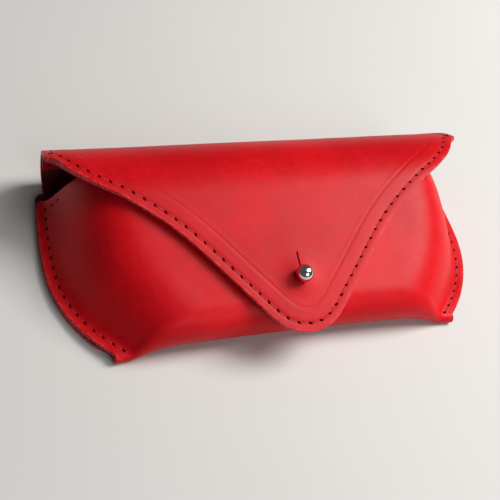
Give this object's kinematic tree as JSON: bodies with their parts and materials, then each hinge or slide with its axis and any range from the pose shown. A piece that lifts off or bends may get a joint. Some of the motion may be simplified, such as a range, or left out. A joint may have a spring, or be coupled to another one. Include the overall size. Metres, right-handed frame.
{
  "type": "soft leather eyewear case with a flap",
  "caption": "Red leather eyewear case with sewn sides, a pointed flap that folds over the front, and a ball stud that buttons through a keyhole.",
  "frame": {"origin": "centre of the bounding box in plan, on the flat outer face of the back, which the case lies on", "axes": "+X along the case to the wearer's right when the flap faces them, +Y from the bottom fold to the top, +Z out of the front"},
  "size_m": [0.16, 0.084, 0.0348],
  "materials": {
    "red_leather": "smooth waxed full-grain hide, soft sheen",
    "facing_leather": "thin split leather with a suede nap",
    "red_thread": "waxed braided thread",
    "nickel": "polished nickel plate"
  },
  "bodies": {
    "pouch_body": {"back_panel": "red_leather", "bottom_fold": "red_leather", "front_panel": "red_leather", "left_seam_thread": "red_thread", "right_seam_thread": "red_thread", "stud_head": "nickel", "stud_screw": "nickel", "stud_patch": "facing_leather"},
    "flap_body": {"flap": "red_leather", "flap_keyhole": "red_leather", "flap_facing": "facing_leather", "flap_border_thread": "red_thread"}
  },
  "joints": [
    {"name": "flap_fold", "type": "hinge", "parent": "pouch_body", "child": "flap_body", "pos_m": [0, 0.03992, 0.00187], "axis": [-1, 0, 0], "range_deg": [0, 90], "deforming": ["flap_keyhole"]}
  ]
}
